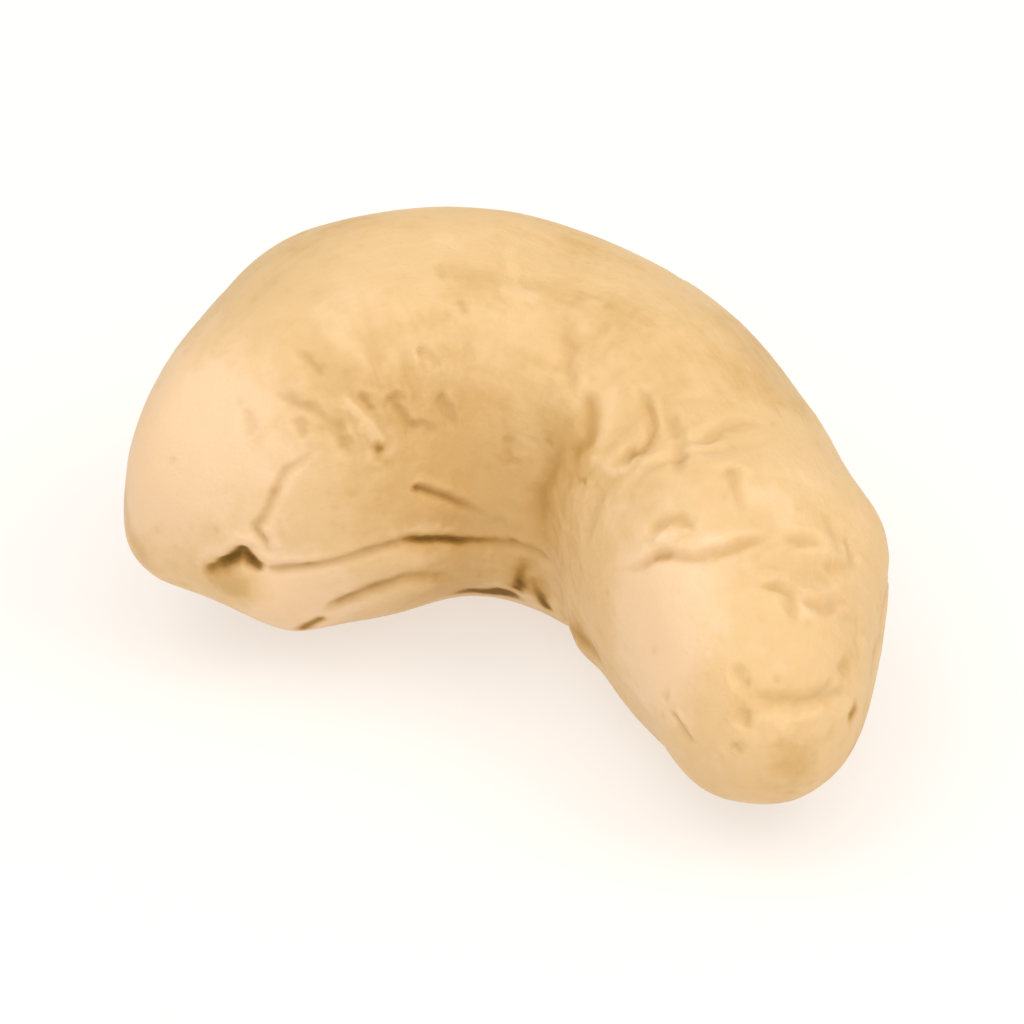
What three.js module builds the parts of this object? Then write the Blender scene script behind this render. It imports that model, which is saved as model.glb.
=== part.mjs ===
import * as THREE from "three";

// Roasted cashew nut kernel, whole, lying on its side.
// Millimetres, +Z up. X runs from the fat germ end to the slim tail, Y towards the outside
// of the bend. The origin is under the middle of the kernel, on the surface it rests on.

// Spine: handles of a Bezier curve from the germ end to the tail, as X, Y and height
const SPINE = [[-9.5, -8.0, 5.8], [-8.2, 3.7, 6.2], [3.4, 8.3, 5.9], [11.9, -8.1, 4.3]];

// Reach of the flesh from the spine, as Bezier handles from the germ end to the tail
const BACK_REACH = [4.0, 6.7, 6.3, 5.5, 4.6, 3.9];
const BELLY_REACH = [6.6, 6.8, 6.3, 3.7, 5.3, 4.0];
const RISE = [5.7, 6.8, 6.6, 5.9, 4.6, 3.9];
const DROP = [5.7, 5.5, 5.8, 5.7, 4.8, 4.2];

// Share of the spine over which each end rounds off, and how square the roundings are
const GERM_CAP = 0.3;
const TAIL_CAP = 0.19;
const CAP_POWER = 2.2;
const SECTION_POWER = 2.2;

// Mesh fineness: rings along the spine, points round a ring, and their crowding at the belly
const RINGS = 84;
const RING_POINTS = 54;
const BELLY_CROWDING = 0.45;

// Split line between the two halves, as Bezier handles from the germ end to the tail:
// its turn away from straight in degrees, and its depth on the belly
const SEAM_TURN = [20, -20, 10, 8, 10, 6];
const SEAM_BELLY_DEPTH = [0.3, 0.65, 0.8, 0.45, 0.1, 0.1];
const SEAM_BACK_DEPTH = 0.12;
const SEAM_HALF_WIDTH = 0.4;

// Creases pressed into the flesh. Each path point is [share of the spine, degrees round the
// ring], where 90 is the top, 180 the belly and 270 the underside. The depth goes from the
// first point to the last.
const CREASES = [
  { name: "bend fold", depth: [0.3, 0.8], halfWidth: 0.8,
    path: [[0.62, 128], [0.645, 148], [0.655, 165], [0.66, 180], [0.675, 198], [0.69, 225]] },
  { name: "bend valley", depth: [0.15, 0.4], halfWidth: 1.4,
    path: [[0.46, 62], [0.5, 85], [0.56, 105], [0.62, 128]] },
  { name: "germ cap crease", depth: [0.1, 0.3], halfWidth: 0.55,
    path: [[0.11, 112], [0.083, 124], [0.058, 131], [0.035, 146], [0.023, 172]] },
  { name: "lower belly crease", depth: [0.35, 0.3], halfWidth: 0.55,
    path: [[0.092, 222], [0.094, 206], [0.119, 197], [0.178, 193], [0.34, 198], [0.52, 204]] },
  { name: "upper belly crease", depth: [0.2, 0.3], halfWidth: 0.55,
    path: [[0.2, 161], [0.29, 167], [0.43, 173]] },
  { name: "tail belly crease", depth: [0.3, 0.2], halfWidth: 0.55,
    path: [[0.86, 144], [0.882, 121], [0.891, 104], [0.886, 94]] },
  { name: "tail fold", depth: [0.2, 0.1], halfWidth: 0.65,
    path: [[0.905, 92], [0.905, 70], [0.9, 45]] },
  { name: "tip crease", depth: [0.3, 0.1], halfWidth: 0.65,
    path: [[0.975, 112], [0.988, 90], [0.978, 42], [0.955, 8]] },
];

// Lips of a groove: their height as a share of its depth, and their place in half-widths
const LIP_HEIGHT = 0.16;
const LIP_PLACE = 2.1;

// Broad swellings, and hollows with a negative height: place, height, and reach over the skin
const MOUNDS = [
  { name: "germ nub", at: [0.047, 217], height: 0.4, reach: 1.0 },
  { name: "germ pocket", at: [0.017, 203], height: -0.9, reach: 0.7 },
  { name: "belly wall hollow", at: [0.2, 158], height: -0.45, reach: 2.8 },
  { name: "tail top swelling", at: [0.83, 105], height: 0.3, reach: 2.0 },
  { name: "tail belly swelling", at: [0.9, 125], height: 0.3, reach: 1.8 },
  { name: "germ end rest", at: [0.18, 276], height: 0.85, reach: 2.2 },
  { name: "bend rest", at: [0.53, 282], height: 0.5, reach: 2.4 },
  { name: "tail rest", at: [0.87, 272], height: 0.55, reach: 2.0 },
];

// Slow unevenness of the whole skin: rows of waves that cross, and the length of a wave
const LUMP_WAVES = [
  { height: 0.065, direction: [1, 0, 0.6], start: 0 },
  { height: 0.065, direction: [-0.7, 1, 0], start: 1.2 },
];
const LUMP_LENGTH = 7.0;

// Depth to which the three rests are pressed flat
const REST_SINK = 0.12;

// Steps used to follow the skin's slope, a crease's line and the seam's line
const SLOPE_STEP = 0.002;
const CREASE_STEPS = 24;
const SEAM_STEPS = 90;

const UP = new THREE.Vector3(0, 0, 1);
const BELLY = Math.PI;
const FULL_TURN = 2 * Math.PI;

function bezier(handles, share) {
  let row = handles;
  while (row.length > 1) {
    row = row.slice(1).map((handle, i) => THREE.MathUtils.lerp(row[i], handle, share));
  }
  return row[0];
}

function spineAt(share) {
  return new THREE.Vector3(...[0, 1, 2].map((axis) => bezier(SPINE.map((handle) => handle[axis]), share)));
}

function spineHeading(share) {
  const [x, y] = [0, 1].map((axis) => {
    const steps = SPINE.slice(1).map((handle, i) => handle[axis] - SPINE[i][axis]);
    return bezier(steps, share);
  });
  return new THREE.Vector3(x, y, 0).normalize();
}

function capFullness(share) {
  const germ = Math.max(0, 1 - share / GERM_CAP) ** CAP_POWER;
  const tail = Math.max(0, 1 - (1 - share) / TAIL_CAP) ** CAP_POWER;
  return ((1 - germ) * (1 - tail)) ** (1 / CAP_POWER);
}

function squared(value) {
  return Math.sign(value) * Math.abs(value) ** (2 / SECTION_POWER);
}

// The smooth kernel: a squared oval ring at each share of the spine, closing at both ends
function smoothPoint(share, angle) {
  const outward = UP.clone().cross(spineHeading(share));
  const across = squared(Math.cos(angle)) * bezier(Math.cos(angle) > 0 ? BACK_REACH : BELLY_REACH, share);
  const upward = squared(Math.sin(angle)) * bezier(Math.sin(angle) > 0 ? RISE : DROP, share);
  const fullness = capFullness(share);
  return spineAt(share)
    .addScaledVector(outward, across * fullness)
    .addScaledVector(UP, upward * fullness);
}

function smoothNormal(share, angle) {
  const inner = THREE.MathUtils.clamp(share, SLOPE_STEP, 1 - SLOPE_STEP);
  const along = smoothPoint(inner + SLOPE_STEP / 2, angle).sub(smoothPoint(inner - SLOPE_STEP / 2, angle));
  const around = smoothPoint(inner, angle + SLOPE_STEP).sub(smoothPoint(inner, angle - SLOPE_STEP));
  return around.cross(along).normalize();
}

// At each end all the angles of a ring meet in one point, so the line runs on across it
function seamTurn(share) {
  return THREE.MathUtils.degToRad(bezier(SEAM_TURN, share));
}

// Lines drawn on the smooth kernel, as rows of short straight steps
function placeOnSkin([share, degrees]) {
  return smoothPoint(share, THREE.MathUtils.degToRad(degrees));
}

function seamLine(sideAngle) {
  return Array.from({ length: SEAM_STEPS + 1 }, (_, i) => {
    const share = crowdedShare(i / SEAM_STEPS);
    return smoothPoint(share, sideAngle + seamTurn(share));
  });
}

function creaseLine(path) {
  const shares = path.map((point) => new THREE.Vector3(point[0], point[1], 0));
  const curve = new THREE.CatmullRomCurve3(shares);
  return curve.getPoints(CREASE_STEPS).map((point) => placeOnSkin([point.x, point.y]));
}

// A share of the spine whose equal steps crowd towards both ends
function crowdedShare(step) {
  return (1 - Math.cos(Math.PI * step)) / 2;
}

// Nearest distance from a point to a line, and how far along the line that is, from 0 to 1
function nearestOn(line, point) {
  let nearest = { distance: Infinity, along: 0 };
  for (let i = 0; i + 1 < line.length; i += 1) {
    const step = new THREE.Line3(line[i], line[i + 1]);
    const share = step.closestPointToPointParameter(point, true);
    const distance = step.at(share, new THREE.Vector3()).distanceTo(point);
    if (distance < nearest.distance) {
      nearest = { distance, along: (i + share) / (line.length - 1) };
    }
  }
  return nearest;
}

// A rounded groove with a low lip on each side
function grooveShape(distance, halfWidth) {
  const reach = distance / halfWidth;
  return LIP_HEIGHT * Math.exp(-((reach - LIP_PLACE) ** 2)) - Math.exp(-(reach ** 2));
}

const bellySeam = seamLine(BELLY);
const backSeam = seamLine(0);
const creases = CREASES.map((crease) => ({ ...crease, line: creaseLine(crease.path) }));
const mounds = MOUNDS.map((mound) => ({ ...mound, centre: placeOnSkin(mound.at) }));

function seamRelief(point) {
  const belly = nearestOn(bellySeam, point);
  const back = nearestOn(backSeam, point);
  const share = crowdedShare(belly.along);
  return bezier(SEAM_BELLY_DEPTH, share) * grooveShape(belly.distance, SEAM_HALF_WIDTH)
    + SEAM_BACK_DEPTH * grooveShape(back.distance, SEAM_HALF_WIDTH);
}

function creaseRelief(point) {
  return creases.reduce((sum, { line, depth, halfWidth }) => {
    const { distance, along } = nearestOn(line, point);
    return sum + THREE.MathUtils.lerp(depth[0], depth[1], along) * grooveShape(distance, halfWidth);
  }, 0);
}

function moundRelief(point) {
  return mounds.reduce((sum, { centre, height, reach }) => {
    return sum + height * Math.exp(-((point.distanceTo(centre) / reach) ** 2));
  }, 0);
}

function lumpRelief(point) {
  return LUMP_WAVES.reduce((sum, { height, direction, start }) => {
    const travel = point.dot(new THREE.Vector3(...direction)) / LUMP_LENGTH;
    return sum + height * Math.sin(FULL_TURN * travel + start);
  }, 0);
}

function skinPoint(share, angle) {
  const point = smoothPoint(share, angle);
  const relief = seamRelief(point) + creaseRelief(point) + moundRelief(point) + lumpRelief(point);
  const raised = point.clone().addScaledVector(smoothNormal(share, angle), relief);
  raised.z = Math.max(0, raised.z - REST_SINK);
  return raised;
}

// Ring points crowd towards the belly, where the detail is
function ringAngle(index, share) {
  const turn = (FULL_TURN * index) / RING_POINTS;
  return turn + BELLY_CROWDING * Math.sin(turn) + seamTurn(share);
}

function kernelGeometry() {
  const points = [skinPoint(0, BELLY)];
  for (let ring = 1; ring <= RINGS; ring += 1) {
    const share = crowdedShare(ring / (RINGS + 1));
    for (let index = 0; index < RING_POINTS; index += 1) {
      points.push(skinPoint(share, ringAngle(index, share)));
    }
  }
  points.push(skinPoint(1, BELLY));

  const faces = [];
  const last = points.length - 1;
  const at = (ring, index) => 1 + ring * RING_POINTS + (index % RING_POINTS);
  for (let index = 0; index < RING_POINTS; index += 1) {
    faces.push([0, at(0, index + 1), at(0, index)]);
    for (let ring = 0; ring + 1 < RINGS; ring += 1) {
      faces.push([at(ring, index), at(ring + 1, index + 1), at(ring + 1, index)]);
      faces.push([at(ring, index), at(ring, index + 1), at(ring + 1, index + 1)]);
    }
    faces.push([at(RINGS - 1, index), at(RINGS - 1, index + 1), last]);
  }

  const geometry = new THREE.BufferGeometry().setFromPoints(points);
  geometry.setIndex(faces.flat());
  geometry.computeVertexNormals();
  geometry.computeBoundingBox();
  const middle = geometry.boundingBox.getCenter(new THREE.Vector3());
  geometry.translate(-middle.x, -middle.y, 0);
  return geometry;
}

const toastedCream = new THREE.MeshStandardMaterial({ color: 0xeac695, roughness: 0.55, metalness: 0 });

const kernel = new THREE.Mesh(kernelGeometry(), toastedCream);
kernel.name = "cashew_kernel";

const part = new THREE.Group();
part.name = "roasted_cashew_nut";
part.add(kernel);

export default part;
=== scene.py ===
import math

import bpy
import numpy as np
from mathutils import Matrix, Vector


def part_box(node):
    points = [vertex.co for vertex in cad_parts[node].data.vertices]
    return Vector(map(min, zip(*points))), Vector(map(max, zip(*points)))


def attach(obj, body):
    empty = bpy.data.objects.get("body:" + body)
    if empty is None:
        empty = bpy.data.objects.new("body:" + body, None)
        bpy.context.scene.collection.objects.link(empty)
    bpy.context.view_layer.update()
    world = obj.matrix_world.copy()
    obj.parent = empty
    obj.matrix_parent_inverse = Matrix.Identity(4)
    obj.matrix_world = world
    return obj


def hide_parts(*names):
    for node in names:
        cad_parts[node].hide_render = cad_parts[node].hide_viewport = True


# Roasted cashew nut kernel, whole, lying on its side.
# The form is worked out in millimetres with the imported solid's own values, and the mesh is in
# metres. X runs from the fat germ end to the slim tail, Y to the outside of the bend, Z up.
# A place on the skin is [share of the spine from the germ end, degrees round the kernel], where
# 0 is the back, 90 the top, 180 the belly and 270 the underside.

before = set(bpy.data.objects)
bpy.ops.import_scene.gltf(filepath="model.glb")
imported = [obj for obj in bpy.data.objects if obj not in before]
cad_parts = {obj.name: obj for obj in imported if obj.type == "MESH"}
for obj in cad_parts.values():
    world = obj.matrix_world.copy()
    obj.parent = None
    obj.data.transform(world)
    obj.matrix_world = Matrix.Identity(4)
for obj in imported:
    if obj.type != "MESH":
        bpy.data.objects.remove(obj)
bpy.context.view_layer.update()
kernel_low, kernel_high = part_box("cashew_kernel")

MM = 0.001
FULL_TURN = 2 * math.pi
BELLY = math.pi

# Spine of the kernel: handles of a Bezier curve, as X, Y and height
SPINE = [[-9.5, -8.0, 5.8], [-8.2, 3.7, 6.2], [3.4, 8.3, 5.9], [11.9, -8.1, 4.3]]

# Reach of the flesh from the spine, as Bezier handles from the germ end to the tail
BACK_REACH = [4.0, 6.7, 6.3, 5.5, 4.6, 3.9]
BELLY_REACH = [6.6, 6.8, 6.3, 3.7, 5.3, 4.0]
RISE = [5.7, 6.8, 6.6, 5.9, 4.6, 3.9]
DROP = [5.7, 5.5, 5.8, 5.7, 4.8, 4.2]

# Share of the spine over which each end rounds off, and how square the roundings are
GERM_CAP = 0.3
TAIL_CAP = 0.19
CAP_POWER = 2.2
SECTION_POWER = 2.2

# Turn of the seam away from the middle of the belly and back, in degrees
SEAM_TURN = [20, -20, 10, 8, 10, 6]

# Mesh fineness: rings along the spine, points round a ring, how far the points crowd to one
# side, and the middle of that side in degrees
RINGS = 358
RING_POINTS = 276
SIDE_CROWDING = 0.42
CROWDED_SIDE = 138

# Broad swellings, and hollows with a negative height: place, height and reach
SWELLINGS = {
    "germ nub": ([0.047, 222], 0.42, 1.1),
    "belly wall hollow": ([0.2, 158], -0.45, 2.8),
    "tail top swelling": ([0.83, 105], 0.3, 2),
    "tail belly swelling": ([0.9, 125], 0.3, 1.8),
    "germ end rest": ([0.18, 276], 0.85, 2.2),
    "bend rest": ([0.53, 282], 0.5, 2.4),
    "tail rest": ([0.87, 272], 0.55, 2),
    "flat of the germ shoulder": ([0.15, 44], -0.64, 2.9),
    "germ brow": ([0.065, 22], -0.26, 1.9),
    "cheek": ([0.022, 300], 0.3, 1.5),
    "foot of the nub": ([0.1, 238], 0.4, 1.4),
    "tail shoulder": ([0.83, 20], 0.32, 1.8),
    "flat of the bend": ([0.7, 40], -0.25, 2),
    "belly bump": ([0.768, 206], 0.3, 1),
    "tail waist": ([0.925, 214], -0.3, 1.8),
    "hollow under the notch": ([0.42, 226], -0.22, 1.8),
}

# Slow unevenness of the whole skin, as rows of waves that cross
LUMP_WAVES = [
    {"height": 0.065, "direction": [1, 0, 0.6], "start": 0},
    {"height": 0.065, "direction": [-0.7, 1, 0], "start": 1.2},
]
LUMP_LENGTH = 7.0

# A line pressed into the skin is a path, a depth, a half width and a browning, which darkens the
# line: in part the toasted brown of a crease, and in part painted shade where creases, hollows and
# undercuts lie in shadow. It may have a lean, which raises the skin more on one side, and then a
# fade, the share of its length over which each end dies out. Several depths or brownings lie
# evenly along the line. A negative depth raises a ridge, and a negative browning is paler, a
# painted highlight on the raised ridge. A calm line keeps to its path, and the others wander and
# break up a little.
CREASE_FADE = 0.25

# Share of the half width that is left where a line dies out
END_WIDTH = 0.6

# The seam between the two halves, in stretches that lie calm unless they say otherwise: the side
# that each runs on in degrees, and the shares of the spine where it starts and ends
SEAM_STRETCHES = {
    "seam trough": dict(
        side=180, shares=[0.06, 0.64], depth=[0.1, 0.2], half_width=0.6, browning=[0.03, 0.05], fade=0.3,
    ),
    "seam in the notch": dict(
        side=180, shares=[0.57, 0.68], depth=[0.12, 0.08], half_width=0.17, browning=[0.3, 0.25], fade=0.2,
    ),
    "seam of the tail": dict(
        side=180, shares=[0.66, 0.97], depth=0.03, half_width=0.2, browning=[0.05, 0.04], fade=0.2,
    ),
    "seam of the back": dict(
        side=0, shares=[0.04, 0.96], depth=0.1, half_width=0.22, browning=0.12, fade=0.1, calm=False,
    ),
    "flat of the back seam": dict(
        side=0, shares=[0.1, 0.9], depth=0.14, half_width=0.9, browning=0.03, fade=0.2,
    ),
}

# The folds and creases that lie calm, with some lines of painted shade among them
CALM_CREASES = {
    "bend fold": (
        [[0.62, 128], [0.645, 148], [0.655, 165], [0.66, 180], [0.675, 198], [0.69, 225]],
        [0.2, 0.4], 0.9, [0, 0.08],
    ),
    "bend valley": ([[0.46, 62], [0.5, 85], [0.56, 105], [0.62, 128]], [0.15, 0.35], 1.4, [0, 0.02]),
    "open seam": (
        [[0.035, 196], [0.054, 193.5], [0.079, 190.5], [0.106, 187], [0.146, 183.5], [0.191, 182],
         [0.235, 182], [0.31, 184], [0.415, 187], [0.538, 187.5], [0.602, 186.5]],
        [0.12, 0.12, 0.14, 0.16, 0.18, 0.16, 0.12, 0.12, 0.1, 0.1, 0.06], 0.19,
        [0.2, 0.35, 0.35, 0.22, 0.22, 0.35, 1.1, 1.2, 0.9, 0.45, 0.25], 0.6, 0.04,
    ),
    # The pocket's dark arch is painted shadow under its upper lip
    "germ pocket": (
        [[0.014, 230.5], [0.013, 216.5], [0.015, 204.5], [0.018, 196], [0.021, 190], [0.023, 186],
         [0.026, 190.5], [0.032, 195.5], [0.037, 198.5]],
        [0.2, 0.26, 0.2], 0.25, [0.85, 0.8, 0.85], 0.3, 0.12,
    ),
    # Painted shade inside the germ pocket
    "germ pocket floor": (
        [[0.014, 212.5], [0.018, 201.5], [0.024, 193], [0.032, 197]],
        0.08, 0.36, [0.3, 0.35], 0, 0.2,
    ),
    "germ cap crease": (
        [[0.117, 139.5], [0.078, 143], [0.06, 145], [0.044, 155], [0.035, 164], [0.03, 170], [0.034, 177.5],
         [0.038, 183.5], [0.046, 189.5]],
        [0.1, 0.16], 0.16, [0.12, 0.36], 0.5,
    ),
    "lower belly crease": (
        [[0.106, 220.5], [0.113, 218], [0.123, 212.5], [0.142, 205.5], [0.174, 199.5], [0.221, 196.5],
         [0.315, 199.5], [0.38, 204]],
        0.16, 0.34, [0.35, 0.55, 0.4, 0.25], -0.7,
    ),
    "nick of the belly crease": (
        [[0.111, 239.5], [0.106, 233], [0.108, 229], [0.113, 226], [0.118, 223]],
        0.05, 0.32, [0.8, 0.7],
    ),
    # Painted contact shade where the belly's lower edge turns under towards the resting surface, hardly
    # pressed in
    "undercut": (
        [[0.358, 213.5], [0.416, 221], [0.471, 221.5], [0.522, 217.5], [0.568, 211]],
        [0.04, 0.06], 0.6, [0.9, 1.4, 1.5],
    ),
    "upper belly crease": (
        [[0.219, 167], [0.25, 168], [0.271, 169], [0.342, 172.5], [0.416, 176], [0.51, 179.5]],
        [0.3, 0.12], 0.16, [0.65, 0.3], 0.6, 0.2,
    ),
    "tail belly crease": (
        [[0.851, 152], [0.871, 139], [0.877, 127], [0.891, 114.5], [0.892, 105.5], [0.891, 98], [0.887, 91],
         [0.883, 84]],
        [0.12, 0.2], 0.22, [0.2, 0.32], 0.6, 0.2,
    ),
    "tail crease spot": ([[0.871, 133], [0.883, 121]], 0.06, 0.16, 0.15),
    "tail fold": ([[0.905, 92], [0.905, 70], [0.9, 45]], [0.15, 0.1], 0.65, 0),
    "valley line": (
        [[0.534, 97], [0.58, 112.5], [0.611, 121], [0.644, 127]],
        [0.08, 0.12], 0.26, [0.1, 0.2], 0.4,
    ),
    # Partly a crease, and partly painted shade in the hollow at the foot of the valley
    "valley foot": (
        [[0.648, 122.5], [0.669, 124.5], [0.687, 128.5], [0.702, 134.5], [0.697, 141], [0.69, 149]],
        [0.1, 0.15], 0.28, [0.2, 0.42], 0.4, 0.2,
    ),
    "notch line": (
        [[0.676, 140.5], [0.661, 149.5], [0.657, 159], [0.648, 166.5], [0.652, 174.5], [0.644, 187]],
        [0.1, 0.18], 0.3, [0.18, 0.45], 0.3, 0.3,
    ),
    # Painted contact shade, darkest where it reaches the underside edge
    "notch stub": (
        [[0.612, 190.5], [0.608, 197], [0.583, 206], [0.568, 211]],
        [0.04, 0.06], 0.3, [0.25, 0.45, 0.9, 1.3], 0, 0.1,
    ),
    # Painted contact shade, darkest where it reaches the underside edge
    "notch foot": (
        [[0.646, 196.5], [0.638, 204.5], [0.636, 212.5], [0.643, 217]],
        [0.04, 0.06], 0.3, [0.2, 0.5, 1.35, 1], 0, 0.15,
    ),
    # Painted shade in the corner of the notch, with no depth
    "corner of the notch": ([[0.575, 205], [0.612, 204], [0.644, 203]], 0, 0.5, 0.35),
    # Painted shade along the lower left rim of the germ end, where it turns under towards the resting
    # surface
    "rim of the germ end": (
        [[0.054, 40.5], [0.037, 31], [0.028, 17], [0.017, 4], [0.011, -17.5], [0.008, -48], [0.013, -75.5],
         [0.018, -90.5]],
        0.02, 0.5, [0.1, 0.2],
    ),
}

# The smaller marks, which wander a little; the raised ridges among them are paler, as a painted highlight
CREASES = {
    "germ cap ridge": ([[0.036, 168], [0.039, 176], [0.047, 182.5]], [-0.05, -0.06], 0.2, [-0.2, -0.3]),
    "tip crease": (
        [[0.977, 98.5], [0.981, 85], [0.981, 72.5], [0.976, 50], [0.962, 28], [0.948, 14]],
        [0.14, 0.2], 0.36, 0.12, -0.5,
    ),
    "tip spot": ([[0.963, 106.5], [0.972, 101], [0.974, 94.5]], 0.1, 0.22, 0.1),
    "tip ripple": ([[0.984, 100], [0.993, 109]], 0.12, 0.23, 0.11),
    "tip dash": ([[0.955, 38], [0.943, 35]], 0.12, 0.23, 0.13),
    "tip dot": ([[0.994, 134], [0.998, 136]], 0.1, 0.21, 0.26),
    "tail flank line": ([[0.961, 167], [0.97, 170.5], [0.981, 176.5]], 0.12, 0.17, 0.2, 0.6, 0.2),
    "tail flank dot": ([[0.95, 165.5], [0.957, 161.5]], 0.06, 0.2, 0.1),
    "crown arc": (
        [[0.092, 113], [0.102, 121], [0.113, 128.5], [0.124, 137], [0.126, 144], [0.131, 149.5]],
        [0.1, 0.16], 0.21, [0.07, 0.14], 0.7, 0.2,
    ),
    "crown dash": ([[0.136, 107.5], [0.142, 115], [0.147, 121]], 0.1, 0.23, 0.11),
    "crown tick": ([[0.096, 125.5], [0.093, 136.5]], [0.08, 0.1], 0.21, 0.14),
    "crown shade": ([[0.068, 109], [0.058, 122]], 0.06, 0.24, 0.1),
    "crown nick": ([[0.173, 130], [0.178, 135], [0.185, 140]], [0.14, 0.12], 0.2, [0.2, 0.15], 0.5, 0.2),
    "crown ridge": ([[0.149, 127], [0.162, 138.5], [0.187, 152]], -0.05, 0.2, [-0.25, -0.2]),
    "crown fork": (
        [[0.205, 135.5], [0.225, 140], [0.237, 145], [0.24, 154.5]],
        0.13, 0.23, [0.14, 0.17], 0.6,
    ),
    "crown fork branch": (
        [[0.24, 148], [0.282, 149.5], [0.325, 153.5]],
        [0.1, 0.08], 0.21, [0.12, 0.09], 0.5,
    ),
    "bend dent": ([[0.299, 125], [0.318, 128.5], [0.343, 133]], [0.14, 0.12], 0.22, [0.2, 0.15], 0, 0.2),
    "bend scratch": (
        [[0.334, 140], [0.354, 145.5], [0.392, 153.5]],
        [0.14, 0.1], 0.18, [0.19, 0.11], 0.5, 0.2,
    ),
    "top pock": ([[0.377, 109.5], [0.395, 116]], 0.1, 0.2, 0.18),
    "top tick": ([[0.355, 94.5], [0.365, 103]], 0.08, 0.19, 0.13),
    "top shade": ([[0.402, 124], [0.426, 131.5]], 0.06, 0.22, 0.09),
    "top ridge": ([[0.442, 101.5], [0.477, 102.5], [0.505, 98.5]], -0.03, 0.24, -0.2),
    "top hook ridge": ([[0.451, 78.5], [0.447, 89.5], [0.466, 98.5]], -0.03, 0.2, [-0.15, -0.2]),
    "top hollow": ([[0.438, 93.5], [0.475, 95.5], [0.506, 91]], 0.05, 0.26, 0.05),
    "wall fold": ([[0.542, 150], [0.56, 158], [0.57, 164]], 0.1, 0.2, [0.14, 0.16]),
    "bend fan hook": (
        [[0.689, 106], [0.715, 107], [0.747, 110], [0.762, 115.5], [0.762, 122.5], [0.752, 130.5]],
        [0.12, 0.2], 0.2, [0.14, 0.3], 0.7, 0.2,
    ),
    "bend fan stem": (
        [[0.724, 100.5], [0.758, 103], [0.789, 106], [0.823, 110.5]],
        [0.12, 0.14], 0.22, [0.12, 0.16], 0.6,
    ),
    "bend fan branch": (
        [[0.777, 105.5], [0.786, 96.5], [0.775, 89], [0.771, 80.5], [0.777, 71.5]],
        [0.14, 0.1], 0.22, [0.14, 0.09], -0.7,
    ),
    "bend fan drop": (
        [[0.822, 92.5], [0.831, 92.5], [0.842, 92.5], [0.866, 90.5]],
        [0.22, 0.1], 0.22, [0.3, 0.11], 0.5, 0.2,
    ),
    "bend fan ridge": (
        [[0.72, 137], [0.74, 135.5], [0.762, 133], [0.78, 126.5]],
        [-0.05, -0.06], 0.22, [-0.2, -0.3],
    ),
    "bend fan fold": ([[0.769, 138], [0.779, 149.5], [0.794, 161]], 0.08, 0.3, 0.07, 0.5),
    "bend fan spot": ([[0.73, 144.5], [0.736, 147]], 0.12, 0.18, 0.35, 0, 0.1),
    "tail knot arc": (
        [[0.85, 131.5], [0.852, 123], [0.854, 117], [0.862, 113], [0.872, 110.5]],
        [0.12, 0.16], 0.2, [0.18, 0.25], -0.8, 0.2,
    ),
    "tail knot ridge": ([[0.861, 129.5], [0.866, 121.5], [0.871, 114]], -0.03, 0.18, -0.1),
    "tail block ridge": ([[0.879, 111.5], [0.884, 104.5], [0.883, 98.5]], -0.03, 0.2, -0.12),
    "tail top dash": (
        [[0.881, 80], [0.884, 73], [0.884, 65.5], [0.877, 56]],
        [0.1, 0.08], 0.23, [0.14, 0.09], 0.5,
    ),
    "tail top shade": ([[0.897, 59.5], [0.892, 50], [0.881, 39.5]], 0.08, 0.25, [0.11, 0.09]),
    "tail stair": (
        [[0.918, 91.5], [0.919, 83], [0.923, 77], [0.931, 74.5], [0.943, 73]],
        0.14, 0.22, [0.18, 0.19], 0.6, 0.2,
    ),
    "tail stair shade": ([[0.926, 73], [0.925, 58.5], [0.909, 38.5]], [0.12, 0.1], 0.26, [0.14, 0.12], 0.4),
    # Partly brown texture, and partly painted shade along the tail's inner edge
    "belly edge line": (
        [[0.735, 203], [0.773, 199], [0.815, 196], [0.857, 193]],
        0.05, 0.5, [0.3, 0.45, 0.4, 0.2],
    ),
    "cheek line": ([[0.084, 328], [0.078, 314]], 0.08, 0.2, 0.16),
}

# Small dark flecks: place, half width and browning
FLECKS = {
    "crown fleck": ([0.172, 151], 0.22, 0.5),
    "tail fleck": ([0.956, 368.5], 0.31, 0.62),
    "valley fleck": ([0.636, 147], 0.17, 0.3),
}
FLECK_DEPTH = 0.05
FLECK_LENGTH = 0.004

# Where the skin is puckered into small folds: place, reach and strength
FOLDED_ZONES = {
    "bend fan": ([0.77, 108], 2.8, 0.8),
    "top of the bend": ([0.52, 105], 3.2, 0.3),
    "notch": ([0.6, 150], 2.4, 0.1),
    "crown": ([0.17, 128], 2.4, 0.9),
    "tail top": ([0.9, 62], 2.4, 0.7),
    "tail tip": ([0.98, 80], 1.6, 0.5),
    "lower belly": ([0.35, 205], 2.6, 0.12),
    "underside of the bend": ([0.6, 265], 2.6, 0.4),
}

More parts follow.
